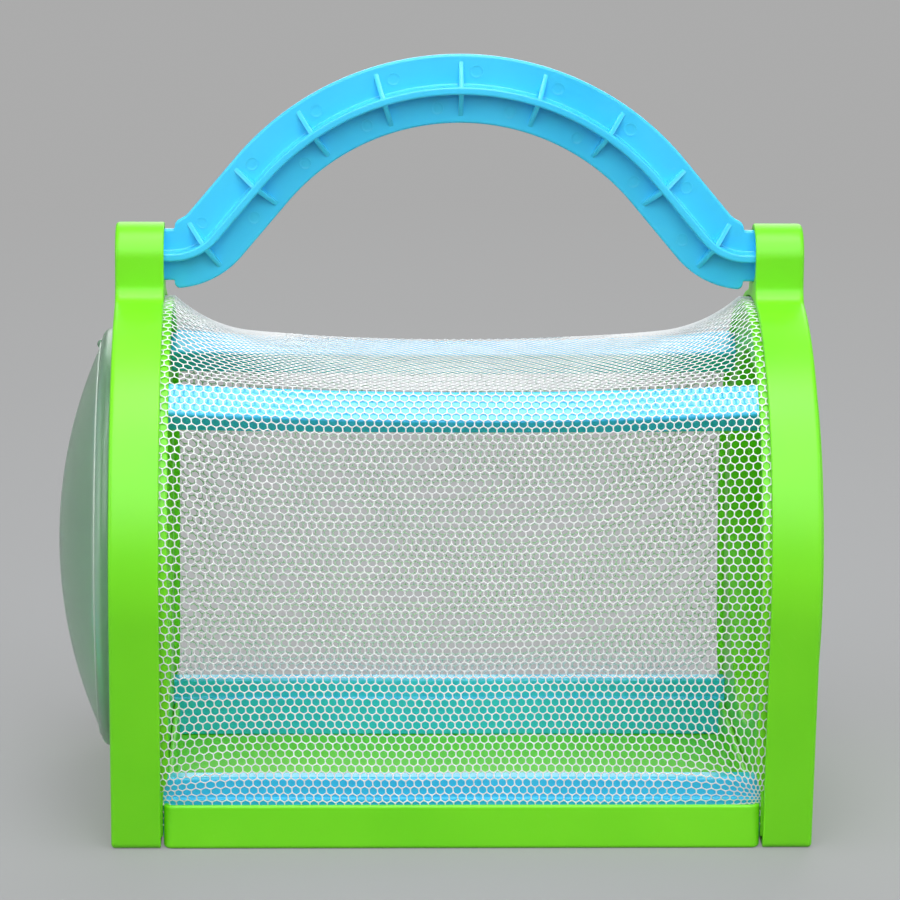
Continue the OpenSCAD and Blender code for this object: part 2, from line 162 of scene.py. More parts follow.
# points round a middle: the middle plus radius times the cosine and sine of the angles
def onCircle(middle, radius, angles):
    return np.asarray(middle) + radius * np.stack([np.cos(angles), np.sin(angles)], -1)


# cosine and sine once round in even steps, without the last, which is the first again
def unitCircle(steps):
    return onCircle((0, 0), 1.0, np.linspace(0, 2 * np.pi, steps + 1)[:-1])


# a half outline from the bottom's middle to the top's middle, made whole by its mirror image
def wholeLoop(half):
    return np.concatenate([half, half[-2:0:-1] * [-1, 1]])


# points of Y and Z with x put before them, which is shaped to spread over the points
def atX(x, flat):
    return np.concatenate([np.broadcast_to(x, flat.shape[:-1] + (1,)), flat], axis=-1)


# a piece stands for its nodes, which are hidden, and moves with its body; its finish is not used
def dress(piece, body, finish, *nodes):
    if nodes:
        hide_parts(*nodes)
    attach(piece, body)


# a shader group with sockets of the kinds that two dictionaries give by label
def shaderGroup(name, inputs, outputs):
    group = bpy.data.node_groups.new(name, "ShaderNodeTree")
    for way, sockets in (("INPUT", inputs), ("OUTPUT", outputs)):
        for label, kind in sockets.items():
            group.interface.new_socket(label, in_out=way, socket_type="NodeSocket" + kind)
    return group, group.nodes.new("NodeGroupInput").outputs, group.nodes.new("NodeGroupOutput")


# feeds a node's inputs by their labels: a socket is linked, anything else is set as the value
def feed(tree, node, inputs):
    for label, value in inputs.items():
        if isinstance(value, bpy.types.NodeSocket):
            tree.links.new(value, node.inputs[label])
        else:
            node.inputs[label].default_value = value


# the outputs of a new shader node, with its settings made first and then its inputs fed
def addNode(tree, kind, inputs, **settings):
    node = tree.nodes.new("ShaderNode" + kind)
    for label, value in settings.items():
        setattr(node, label, value)
    feed(tree, node, inputs)
    return node.outputs


# noise in octaves at a place, each twice as fine and half as strong as the one before
def addNoise(tree, place, scale, detail):
    return addNode(tree, "TexNoise", {"Vector": place, "Scale": scale, "Detail": detail})["Fac"]


# a straight line from toLow at fromLow to toHigh at fromHigh, level past both
def addRange(tree, value, fromLow, fromHigh, toLow=0.0, toHigh=1.0):
    ends = {"From Min": fromLow, "From Max": fromHigh, "To Min": toLow, "To Max": toHigh}
    return addNode(tree, "MapRange", {"Value": value, **ends})["Result"]


# one operation on two values, each a number or a socket
def addMath(tree, operation, first, second):
    return addNode(tree, "Math", {0: first, 1: second}, operation=operation)[0]


# two colours mixed: the first times 1 less the share, plus the second times the share
def addMix(tree, share, first, second):
    return addNode(tree, "Mix", {"Factor": share, "A": first, "B": second}, data_type="RGBA")["Result"]


screenCurve = {"foot": 0.04045, "slope": 12.92, "offset": 0.055, "power": 2.4}


# a colour as a screen shows it, 0 to 255, in the shader's linear values: a straight foot, then a power
def screenColour(red, green, blue):
    part = np.array([red, green, blue]) / 255
    foot, slope, offset, power = screenCurve.values()
    return (*np.where(part <= foot, part / slope, ((part + offset) / (1 + offset)) ** power), 1.0)


skinNoise = {"cloudDetail": 3.0, "cloud": (0.1, 0.9), "skinDetail": 2.0}


# slow clouds of the melt, spread to run from 0 to 1, and the fine skin that the mould leaves
def makeMouldSkin():
    inputs = {"Place": "Vector", "Cloud Scale": "Float", "Skin Scale": "Float"}
    group, given, out = shaderGroup("mouldSkin", inputs, {"Cloud": "Float", "Skin": "Float"})
    cloud = addNoise(group, given["Place"], given["Cloud Scale"], skinNoise["cloudDetail"])
    skin = addNoise(group, given["Place"], given["Skin Scale"], skinNoise["skinDetail"])
    feed(group, out, {"Cloud": addRange(group, cloud, *skinNoise["cloud"]), "Skin": skin})
    return group


lineNoise = {
    "stretch": (0.02, 0.0006, 0.0006), "scale": 1.0, "detail": 1.0, "ridges": (0.66, 0.76),
    "patchScale": 45.0, "patchDetail": 2.0, "patches": (0.5, 0.7),
}


# hairline scratches: noise drawn out along one direction, with its ridges kept where a patchy noise is high
def makeHairlines():
    inputs = {"Place": "Vector", "Turn": "Vector", "Amount": "Float"}
    group, given, out = shaderGroup("hairlines", inputs, {"Mask": "Float"})
    turned = {"Vector": given["Place"], "Rotation": given["Turn"], "Scale": lineNoise["stretch"]}
    along = addNode(group, "Mapping", turned, vector_type="TEXTURE")["Vector"]
    drawn = addNoise(group, along, lineNoise["scale"], lineNoise["detail"])
    lines = addRange(group, drawn, *lineNoise["ridges"])
    patchy = addNoise(group, given["Place"], lineNoise["patchScale"], lineNoise["patchDetail"])
    kept = addMath(group, "MULTIPLY", lines, addRange(group, patchy, *lineNoise["patches"]))
    feed(group, out, {"Mask": addMath(group, "MULTIPLY", kept, given["Amount"])})
    return group


mouldSkin = makeMouldSkin()
hairlines = makeHairlines()


# a new material with its tree, its shader and the Object coordinates
def startMaterial(name):
    material = bpy.data.materials.new(name)
    material.use_nodes = True
    tree = material.node_tree
    shader = [n for n in tree.nodes if n.type == "BSDF_PRINCIPLED"][0]
    return material, tree, shader, addNode(tree, "TexCoord", {})["Object"]


# tilts the shading by the slope of a height that is distance metres at 1, times strength
def addBump(tree, shader, height, strength, distance):
    inputs = {"Height": height, "Strength": strength, "Distance": distance}
    feed(tree, shader, {"Normal": addNode(tree, "Bump", inputs)["Normal"]})


# what all moulded plastic shares: clouds mix two tones and set how dull it is, scratches add to that, and
# the skin bumps it
def startMoulded(name, look):
    material, tree, shader, place = startMaterial(name)
    skinIn = {"Place": place, "Cloud Scale": look["cloudScale"], "Skin Scale": look["skinScale"]}
    skin = addNode(tree, "Group", skinIn, node_tree=mouldSkin)
    linesIn = {"Place": place, "Turn": look["scratchTurn"], "Amount": look["scratches"]}
    lines = addNode(tree, "Group", linesIn, node_tree=hairlines)["Mask"]
    gloss = addRange(tree, skin["Cloud"], 0.0, 1.0, *look["rough"])
    feed(tree, shader, {"Roughness": addMath(tree, "ADD", gloss, lines), "IOR": look["ior"]})
    addBump(tree, shader, skin["Skin"], look["skinBump"], look["skinDeep"])
    tone = addMix(tree, skin["Cloud"], look["deep"], look["bright"])
    return material, tree, shader, tone, lines


# glossy plastic: scratches mix in a pale tone, and light spreads a little under the surface
def mouldedPlastic(name, look):
    material, tree, shader, tone, lines = startMoulded(name, look)
    feed(tree, shader, {
        "Base Color": addMix(tree, lines, tone, look["pale"]), "Subsurface Weight": look["glow"],
        "Subsurface Radius": look["glowReach"], "Subsurface Scale": look["glowScale"],
    })
    return material


# frosted clear plastic: light passes by the share that is clear
def frostedClear(name, look):
    material, tree, shader, tone = startMoulded(name, look)[:4]
    feed(tree, shader, {"Base Color": tone, "Transmission Weight": look["clear"]})
    return material


limePlastic = mouldedPlastic("limePlastic", {
    "deep": screenColour(104, 214, 8), "bright": screenColour(128, 232, 26),
    "pale": screenColour(165, 242, 95), "cloudScale": 22.0, "skinScale": 1400.0,
    "scratchTurn": (0.3, 0.9, 0.4), "scratches": 0.07, "rough": (0.36, 0.44), "ior": 1.49,
    "skinBump": 0.1, "skinDeep": 0.00005, "glow": 0.12, "glowReach": (0.5, 1.0, 0.2), "glowScale": 0.002,
})
skyLook = {
    "deep": screenColour(44, 192, 240), "bright": screenColour(74, 211, 252),
    "pale": screenColour(150, 230, 255), "cloudScale": 26.0, "skinScale": 1400.0,
    "scratchTurn": (1.2, 0.2, 0.7), "scratches": 0.08, "rough": (0.28, 0.4), "ior": 1.49,
    "skinBump": 0.12, "skinDeep": 0.00005, "glow": 0.12, "glowReach": (0.2, 0.6, 1.0), "glowScale": 0.002,
}
skyPlastic = mouldedPlastic("skyPlastic", skyLook)
railPlastic = mouldedPlastic("railPlastic", {**skyLook, "rough": (0.14, 0.2), "skinBump": 0.06})


# knitted yarn: fine and slow noise together mix two whites, and the fine noise dulls and bumps the strands
def yarn(name, look):
    material, tree, shader, place = startMaterial(name)
    fibre = addNoise(tree, place, look["fibreScale"], look["fibreDetail"])
    slow = addNoise(tree, place, look["slowScale"], look["slowDetail"])
    share = addRange(tree, addMath(tree, "ADD", fibre, slow), *look["mix"])
    white = addMix(tree, share, look["shade"], look["white"])
    rough = addRange(tree, fibre, *look["fibre"], *look["rough"])
    feed(tree, shader, {"Base Color": white, "Roughness": rough})
    addBump(tree, shader, fibre, look["bump"], look["bumpDeep"])
    return material


whiteYarn = yarn("whiteYarn", {
    "white": screenColour(243, 244, 245), "shade": screenColour(224, 227, 230), "mix": (0.7, 1.3),
    "fibreScale": 4200.0, "fibreDetail": 3.0, "slowScale": 160.0, "slowDetail": 2.0,
    "fibre": (0.3, 0.7), "rough": (0.5, 0.72), "bump": 0.3, "bumpDeep": 0.00008,
})
frostLook = {
    "deep": screenColour(178, 220, 194), "bright": screenColour(202, 233, 212), "clear": 0.85,
    "cloudScale": 30.0, "skinScale": 1700.0, "scratchTurn": (0.2, 1.3, 0.1), "scratches": 0.12,
    "rough": (0.26, 0.36), "ior": 1.46, "skinBump": 0.12, "skinDeep": 0.00005,
}
frostedPlastic = frostedClear("frostedPlastic", frostLook)
# the bead's plastic: a paler, less clear copy of the frosted plastic, a painted highlight that stands in
# for the light line along the lid's rim
paintedHighlightPlastic = frostedClear("paintedHighlightPlastic", {
    **frostLook, "deep": screenColour(206, 230, 214), "bright": screenColour(226, 242, 232), "clear": 0.35,
})
print("finishes made")

cage = {
    "hoopX": 72.5, "frameIn": 73.0, "frameOut": 85.0, "facePlate": 2.0, "flange": 1.4,
    "archR": 62.3, "archZ": 65.5, "footHalf": 53.7, "footRound": 1.6, "leastRound": 0.25, "holeR": 46.9,
    "earR": 8.0, "earZ": 137.1, "earHollow": 4.0,
    "footSteps": 6, "sideSteps": 12, "archSteps": 60,
}
archR, archZ, holeR = cage["archR"], cage["archZ"], cage["holeR"]
archMid = np.array([0.0, archZ])
footTurn = math.atan2(archZ, cage["footHalf"])
sideDir = math.pi - footTurn - math.asin(archR / math.hypot(cage["footHalf"], archZ))
tanAt = sideDir - math.pi / 2
sideUp = np.array([math.cos(sideDir), math.sin(sideDir)])


# where the straight side meets the arch at a tangent, drawn in by inset
def tanPoint(inset):
    return onCircle(archMid, archR - inset, tanAt)


# half outline of an end, drawn in by inset: the bottom from its middle, a round corner, the straight side
# and the arch at the angles of turn
def halfEnd(inset, turn):
    top = tanPoint(inset)
    corner = top - sideUp * (top[1] - inset) / sideUp[1]
    radius = np.array(max(cage["footRound"] - inset, cage["leastRound"]))
    steps = cage["footSteps"]
    arc, reach = cornerArcs(corner, np.array([-1.0, 0.0]), sideUp, radius, steps)
    bottomEnd = corner[0] - reach[0] - flatHold
    bottom = np.stack([np.linspace(0, bottomEnd, steps), np.full(steps, inset)], 1)
    start = corner + sideUp * (reach[0] + flatHold)
    side = start + (top - start) * np.linspace(0, 1, cage["sideSteps"])[:-1, None]
    return np.concatenate([bottom, arc, side, onCircle(archMid, archR - inset, turn)])


plainTurn = np.linspace(tanAt, np.pi / 2, cage["archSteps"])
earSteps = {"arch": 44, "hollow": 12, "side": 10, "top": 29}
hollowY = cage["earR"] + cage["earHollow"]
hollowUp = math.sqrt((archR + cage["earHollow"]) ** 2 - hollowY ** 2)
hollowMid = np.array([hollowY, archZ + hollowUp])
earMid = np.array([0.0, cage["earZ"]])
fromArch = math.atan2(hollowUp, hollowY)
archTurn = np.linspace(tanAt, fromArch, earSteps["arch"])
hollowTurn = np.linspace(fromArch + np.pi, np.pi, earSteps["hollow"])[1:]
earSide = np.linspace(hollowMid[1], cage["earZ"], earSteps["side"])[1:-1]
earTurn = np.linspace(0, np.pi / 2, earSteps["top"])


# half outline of an end frame: the arch runs by a hollow curve into the ear's straight side and round top
def halfFrame(inset):
    earHalf = cage["earR"] - inset
    return np.concatenate([
        halfEnd(inset, archTurn), onCircle(hollowMid, cage["earHollow"] + inset, hollowTurn),
        np.stack([np.full_like(earSide, earHalf), earSide], 1), onCircle(earMid, earHalf, earTurn),
    ])


endShell = {
    "innerEdge": 0.35, "innerHold": 0.2, "corner": 1.0, "holeEdge": 0.4, "ring": 4.6, "bore": 6.75,
    "split": 0.04, "steps": 6,
}
splitAt = math.acos(endShell["split"] / archR)
shellTurn = np.concatenate([archTurn, np.linspace(fromArch, splitAt, len(hollowTurn) + 1)[1:]])
gathered = np.linspace(splitAt, np.pi / 2, len(earSide) + len(earTurn) + 1)[1:]
ringTurn = np.concatenate([shellTurn, gathered])  # a ring without an ear has the ear's points at its top
boreLow = np.linspace(-math.acos(endShell["split"] / endShell["bore"]), 0, len(earSide) + 1)[:-1]
boreTurn = np.concatenate([boreLow, earTurn])


# half of an end frame's hollow: foot, side and arch, then a circle in the ear for the handle's pin
def halfHollow(inset, bore):
    return np.concatenate([halfEnd(inset, shellTurn), onCircle(earMid, bore, boreTurn)])


# a circle round the hole's axis at x, whose points lie in the same directions as those of a half outline
def holeLoop(radius, x, half):
    angles = np.arctan2(half[:, 1] - archZ, half[:, 0])
    return atX(x, wholeLoop(onCircle(archMid, radius, angles)))


# the pieces of both ends from the right end's rings, which are mirrored in X for the left
def makeEnds(rings, kind, node):
    for mirror, side in ((-1, "left"), (1, "right")):
        piece = loft(side + kind, np.array(rings) * [mirror, 1, 1], limePlastic, closed=True)
        dress(piece, "cage", "green_plastic", side + node)


# an end frame: its rings run out over the flange, round the corner, in over the face to the hole,
# through the hole and back along the inside to the inner edge
def shellRings():
    edge, corner, lip = endShell["innerEdge"], endShell["corner"], endShell["holeEdge"]
    inX, outX = cage["frameIn"], cage["frameOut"]
    plateX = outX - cage["facePlate"]

    # the frame's outline at x, drawn in by inset
    def outline(inset, x):
        return atX(x, wholeLoop(halfFrame(inset)))

    # the hollow's outline at x, with a bore in the ear
    def inside(x, inset=cage["flange"], bore=endShell["bore"]):
        return atX(x, wholeLoop(halfHollow(inset, bore)))

    plain, ring = halfEnd(0, ringTurn), halfEnd(endShell["ring"], ringTurn)
    quarter = quarterRound(endShell["steps"])
    rings = [outline(edge * s, inX + edge * c) for s, c in quarter[:-1:2]]
    rings += [outline(0, inX + edge), outline(0, inX + edge + endShell["innerHold"])]
    rings += [outline(0, outX - corner - flatHold)]
    rings += [outline(corner * c, outX - corner * s) for s, c in quarter]
    rings += [outline(corner + flatHold, outX), atX(outX, wholeLoop(ring))]
    rings += [holeLoop(holeR + lip + flatHold, outX, plain)]
    rings += [holeLoop(holeR + lip * s, outX - lip * c, plain) for s, c in quarter]
    rings += [holeLoop(holeR, plateX, plain), inside(plateX, endShell["ring"], endShell["split"])]
    return rings + [inside(plateX), inside(inX + edge), inside(inX)]


makeEnds(shellRings(), "Shell", "_end_frame")
print("end frames made")

hoop = {
    "off": 2.4, "rim": 1.6, "rimEnd": 79.5, "plate": 2.0, "lip": 1.5, "lipFrom": 14.0, "lipTo": 19.0,
    "lipFoot": 0.05, "collar": 1.6, "collarEnd": 82.9, "edge": 0.4, "holeEdge": 0.7, "steps": 5,
}


# a net hoop: a plate with a rim outside and a collar round the hole, and a lip that rises from the plate
# by a smooth step in height above the tray, 3 less 2 rises times the rise squared
def hoopRings():
    plateX, backX = cage["hoopX"], cage["hoopX"] + hoop["plate"]
    off, inner, edge = hoop["off"], hoop["off"] + hoop["rim"], hoop["edge"]
    collarR, collarEnd = holeR + hoop["collar"], hoop["collarEnd"]
    rimEnd, bend = hoop["rimEnd"], hoop["holeEdge"]
    plain = halfEnd(off, plainTurn)
    above = wholeLoop(plain)[:, 1:] - hoop["lipFrom"]
    rise = np.clip(above / (hoop["lipTo"] - hoop["lipFrom"]), 0, 1)
    lipX = plateX - hoop["lip"] * rise * rise * (3 - 2 * rise)

    # the hoop's outline at x, drawn in by inset
    def outline(inset, x):
        return atX(x, wholeLoop(halfEnd(inset, plainTurn)))

    quarter = quarterRound(hoop["steps"])
    rings = [outline(inner, rimEnd), outline(off, rimEnd), outline(off, lipX + edge + flatHold)]
    rings += [outline(off + edge * c, lipX + edge * s) for s, c in quarter]
    rings += [outline(inner - edge * s, lipX + edge * c) for s, c in quarter]
    rings += [outline(inner, plateX - hoop["lipFoot"]), outline(inner + flatHold, plateX)]
    rings += [holeLoop(holeR + bend + flatHold, plateX, plain)]
    rings += [holeLoop(holeR + bend * s, plateX + bend * c, plain) for s, c in quarter]
    rings += [holeLoop(holeR, collarEnd, plain), holeLoop(collarR, collarEnd, plain)]
    return rings + [holeLoop(collarR, backX, plain), outline(inner, backX)]


makeEnds(hoopRings(), "Hoop", "_net_hoop")
print("net hoops made")

tray = {
    "halfX": 72.3, "halfY": 53.7, "wall": 1.4, "floor": 2.0, "height": 10.9, "plan": 2.2, "leastPlan": 0.5,
    "foot": 0.9, "top": 0.6, "fillet": 0.8, "steps": 5, "planSteps": 6,
}


# the tray: a rounded rectangle drawn in and raised along a profile, up the outside, over the wall's top,
# down the inside and on to the floor
def makeTray():
    wall, high, foot = tray["wall"], tray["height"], tray["foot"]
    top, floor, fillet = tray["top"], tray["floor"], tray["fillet"]
    quarter = quarterRound(tray["steps"])
    profile = [(foot + flatHold, 0.0)]
    profile += [(foot * s, foot * c) for s, c in quarter]
    profile += [(0.0, foot + flatHold), (0.0, high - top - flatHold)]
    profile += [(top * c, high - top * s) for s, c in quarter]
    profile += [(wall - top * s, high - top * c) for s, c in quarter]
    profile += [(wall, high - top - flatHold), (wall, floor + fillet + flatHold)]
    profile += [(wall + fillet * c, floor + fillet * s) for s, c in quarter]
    profile += [(wall + fillet + flatHold, floor)]
    signs = np.array([(1, -1), (1, 1), (-1, 1), (-1, -1)])
    rings = []
    for inset, z in profile:
        corners = signs * [tray["halfX"] - inset, tray["halfY"] - inset]
        loop = roundLoop(corners, max(tray["plan"] - inset, tray["leastPlan"]), tray["planSteps"])
        rings.append(np.concatenate([loop, np.full((len(loop), 1), z)], axis=1))
    return loft("tray", rings, limePlastic)


dress(makeTray(), "cage", "green_plastic", "base_tray")
print("tray made")

rails = {
    "half": 72.4, "width": 9.0, "depth": 7.5, "in": 6.8, "at": 47.0, "tilt": 46.0, "round": 0.7,
    "bow": 3.6, "bowIn": 0.25, "steps": 61,
    "lowerIn": 44.1, "lowerOut": 51.1, "lowerFrom": 2.1, "lowerTop": 17.0, "tongue": 5.0, "step": 0.8,
    "lowerRounds": (0.45, 0.45, 0.3, 0.2, 0.8, 0.8, 0.2, 0.3), "lowerHold": 0.1,
}
railMid = onCircle(archMid, archR - rails["in"], math.radians(rails["at"]))
railOut = onCircle((0, 0), 1.0, math.radians(rails["tilt"]))
railDown = np.array([railOut[1], -railOut[0]])


# how far the pull of the net bows an upper rail's outer face inwards: a parabola, nothing at its ends
def railBow(x):
    return rails["bow"] * np.clip(1 - (np.asarray(x) / rails["half"]) ** 2, 0, 1)


# a section in Y and Z carried along X; each of its points moves by its own pull times the bow there
def makeRail(name, section, pull, mirror):
    half = rails["half"]
    x = np.concatenate([[-half], np.linspace(flatHold - half, half - flatHold, rails["steps"]), [half]])
    flat = section[None] + railBow(x)[:, None, None] * pull[None]
    return loft(name, atX(x[:, None, None], flat) * [1, mirror, 1], railPlastic)


# an upper rail's section, a tilted rectangle, and its pull inwards, which grows evenly with the depth
def upperSection():
    n, s = rails["depth"] / 2, rails["width"] / 2
    loop = roundLoop([(n, -s), (n, s), (-n, s), (-n, -s)], rails["round"])
    pull = rails["bowIn"] + (1 - rails["bowIn"]) * (loop[:, :1] + n) / (2 * n)
    return railMid + loop[:, :1] * railOut + loop[:, 1:] * railDown, -railOut * pull


# a lower rail's section, a bar with a tongue on its top, one step in on either side, and no pull
def lowerSection():
    low, out, step = rails["lowerIn"], rails["lowerOut"], rails["step"]
    foot, top = rails["lowerFrom"], rails["lowerTop"]
    ledge = top - rails["tongue"]
    corners = [(low, foot), (out, foot), (out, ledge), (out - step, ledge), (out - step, top)]
    corners += [(low + step, top), (low + step, ledge), (low, ledge)]
    loop = roundLoop(corners, rails["lowerRounds"], hold=rails["lowerHold"])
    return loop, 0 * loop


for mirror, side in ((-1, "front"), (1, "rear")):
    upper = makeRail(side + "UpperBar", *upperSection(), mirror)
    dress(upper, "cage", "blue_plastic", side + "_upper_rail")
    lower = makeRail(side + "LowerBar", *lowerSection(), mirror)
    dress(lower, "cage", "blue_plastic", side + "_lower_rail")
print("rails made")

bow = {
    "crownR": 64.0, "turn": math.radians(50), "bendR": 14.0, "bendEnd": 71.2, "webEnd": 70.5, "tip": 74.4,
    "half": 8.5, "web": 2.0, "rib": 2.0, "ribHalf": 5.6, "edge": 0.6, "root": 0.4, "ribEdge": 0.5,
    "sectionHold": 0.15, "endRound": 1.5, "endHold": 0.2, "neck": 6.4, "neckStep": 0.25, "webFrom": 3.0,
    "crownSteps": 60, "lineSteps": 10, "bendSteps": 20, "endSteps": 8,
}
bowTurn, crownR, bendR, bendEnd = bow["turn"], bow["crownR"], bow["bendR"], bow["bendEnd"]
crownArc = crownR * bowTurn
lineLen = (bendEnd - (crownR + bendR) * math.sin(bowTurn)) / math.cos(bowTurn)
bendRise = bendR * (1 - math.cos(bowTurn))
crownZ = cage["earZ"] + bendRise + lineLen * math.sin(bowTurn) - crownR * math.cos(bowTurn)


# the handle's middle line at length s from the crown's top: an arc, a straight and an arc the other way;
# gives X, Z and the slope
def bowLine(s):
    a = np.minimum(s, crownArc) / crownR
    along = np.clip(s - crownArc, 0, lineLen)
    b = bowTurn - np.maximum(s - crownArc - lineLen, 0) / bendR
    x = crownR * np.sin(a) + along * math.cos(bowTurn)
    z = crownZ + crownR * np.cos(a) - along * math.sin(bowTurn)
    x = x + bendR * (math.sin(bowTurn) - np.sin(b))
    z = z - bendR * (np.cos(b) - math.cos(bowTurn))
    return x, z, np.where(s <= crownArc, a, b)


# places given as length along the bow, out from its middle line and forwards, on either half
def onBow(s, out, forward, along=0.0):
    x, z, slope = bowLine(np.abs(s))
    flip = np.where(np.asarray(s) < 0, -1.0, 1.0)
    px = flip * (x + out * np.sin(slope)) + along * np.cos(slope)
    pz = z + out * np.cos(slope) - along * np.sin(slope) * flip
    return np.stack(np.broadcast_arrays(px, forward, pz), -1)


# the bow: a cross-shaped section, web and rib, carried along the middle line; in the last bend each
# point's slope falls evenly until the section stands upright, then the web's half width follows a
# quarter circle and drops to the neck
def makeBow():
    h, t, r, v = bow["half"], bow["web"] / 2, bow["rib"] / 2, bow["ribHalf"]
    corners = [(h, -t), (h, t), (r, t), (r, v), (-r, v), (-r, t)]
    corners += [(-a, -b) for a, b in corners]
    edge, root, ribEdge = bow["edge"], bow["root"], bow["ribEdge"]
    section = roundLoop(corners, [edge, edge, root, ribEdge, ribEdge, root] * 2, hold=bow["sectionHold"])
    endX, endR, neck, neckStep = bow["webEnd"], bow["endRound"], bow["neck"], bow["neckStep"]
    sines, cosines = quarterRound(bow["endSteps"]).T
    lastX = [endX, endX + neckStep, bendEnd, bow["tip"]]
    tipX = np.concatenate([[endX - endR - bow["endHold"]], endX - endR * sines, lastX])
    wide = np.concatenate([[h], h - endR * cosines, [neck + neckStep], np.full(3, neck)])
    far = np.where(np.abs(section[:, 0]) > bow["webFrom"], np.sign(section[:, 0]), 0)
    tipAcross = section[:, 0] + far * (wide - h)[:, None]
    tipSlope = np.arcsin(np.maximum(bendEnd - tipX, 0)[:, None] / (bendR - tipAcross))
    share = np.linspace(0, 1, bow["bendSteps"])[:-1, None]
    slope = np.concatenate([bowTurn * (1 - share) + tipSlope[0] * share, tipSlope])
    across = np.concatenate([section[:, 0] + 0 * share, tipAcross])
    past = np.concatenate([0 * share, np.maximum(tipX - bendEnd, 0)[:, None]])
    endRings = np.stack([
        bendEnd + past - (bendR - across) * np.sin(slope), 0 * across + section[:, 1],
        cage["earZ"] + bendR - (bendR - across) * np.cos(slope),
    ], -1)
    crown = np.linspace(0, crownArc, bow["crownSteps"])[:-1]
    line = np.linspace(crownArc, crownArc + lineLen, bow["lineSteps"])[:-1]
    s = np.concatenate([crown, line])[:, None]
    right = np.concatenate([onBow(s, section[:, 0], section[:, 1]), endRings])
    return loft("handleBow", np.concatenate([right[:0:-1] * [-1, 1, 1], right]), skyPlastic)


gusset = {
    "eachSide": 4, "pitch": 19.3, "thick": 1.2, "short": 1.2, "low": 0.3, "tip": 0.6, "top": 0.9,
    "round": 0.35, "steps": 3, "hold": 0.1,
    "along": (-1.0, -0.93, -0.6, 0.6, 0.93, 1.0), "shrink": (0.955, 0.985, 1.0, 1.0, 0.985, 0.955),
}
gussetAt = np.arange(-gusset["eachSide"], gusset["eachSide"] + 1) * gusset["pitch"]


# the cross ribs: a lozenge across the bow, carried through its thickness and shrunk a little at both faces
def makeGussets():
    half, high = bow["half"] - gusset["short"], bow["ribHalf"] - gusset["low"]
    tip, top = gusset["tip"], gusset["top"]
    corners = [(half, -tip), (half, tip), (top, high), (-top, high)]
    corners += [(-a, -b) for a, b in corners]
    shape = roundLoop(corners, gusset["round"], gusset["steps"], gusset["hold"])
    along = gusset["thick"] / 2 * np.array(gusset["along"])[None, :, None]
    shrink = np.array(gusset["shrink"])[None, :, None]
    rings = onBow(gussetAt[:, None, None], shape[:, 0] * shrink, shape[:, 1] * shrink, along)
    return loft("handleRibs", rings, skyPlastic)


mark = {
    "r": 1.6, "upper": (3.6, 4.4), "lower": (-6.2, -4.6), "steps": 24,
    "shares": (1.04, 1.0, 0.92, 0.84, 0.5), "heights": (-0.2, 0.05, 0.06, 0.015, 0.012),
}


# round marks that the mould's ejector pins left on the web: circles raised along a low profile, two between
# each cross rib and the next, on both faces
def makeMarks():
    spots = np.zeros((2, len(gussetAt) - 1, 2))
    spots[..., 0] = gussetAt[:-1], gussetAt[1:]
    spots += np.array([mark["upper"], mark["lower"]])[:, None]
    spots = spots.reshape(-1, 1, 1, 2)
    radius = mark["r"] * np.array(mark["shares"])[None, :, None]
    height = bow["web"] / 2 + np.array(mark["heights"])[None, :, None]
    circle = unitCircle(mark["steps"])
    s = spots[..., 0] + radius * circle[:, 0]
    out = spots[..., 1] + radius * circle[:, 1]
    rings = np.concatenate([onBow(s, out, height), onBow(s, out, -height)[..., ::-1, :]])
    return loft("handleMarks", rings, skyPlastic)


pin = {"r": 6.6, "from": 73.4, "to": 82.6, "cut": (0.4, 0.12, 0.0), "steps": 72}


# the two round pins that turn in the ears: a circle carried along X, cut back at both ends
def makePins():
    cut = np.array(pin["cut"])
    radius = pin["r"] - np.concatenate([cut, cut[::-1]])
    x = np.concatenate([pin["from"] + cut[::-1], pin["to"] - cut])
    flat = earMid + radius[:, None, None] * unitCircle(pin["steps"])
    rings = atX(x[:, None, None], flat)
    return loft("handlePins", np.stack([rings, rings[:, ::-1] * [-1, 1, 1]]), skyPlastic)


dress(makeBow(), "handle", "blue_plastic", "handle")
for piece in (makeGussets(), makeMarks(), makePins()):
    dress(piece, "handle", "blue_plastic")
print("handle made")

latheSteps = 192


# a profile of radius and distance outwards, turned round the hole's axis; side is -1 at the left end
def lathe(name, profile, fromX, side, material):
    flat = archMid + profile[:, 0, None, None] * unitCircle(latheSteps)
    return loft(name, atX(side * (fromX + profile[:, 1, None, None]), flat), material)


lid = {
    "baseX": 85.3, "rimR": 52.2, "rimT": 3.4, "rimRound": (2.8, 2.2), "rimSteps": 7, "underRound": 0.35,
    "domeR": 49.0, "domeH": 10.8, "wall": 1.4, "domeSteps": 40, "pole": 0.012,
    "skirtR": 46.6, "skirtLen": 8.0, "skirtFrom": -0.02, "tipRound": 0.5, "tipBend": (0.15, 0.12),
    "nubR": 1.1, "nubFrom": -0.6, "nubTo": 1.45, "nubRings": 12, "nubSteps": 24,
    "beadR": 0.5, "beadAt": (49.3, 3.3), "beadSteps": 12,
}


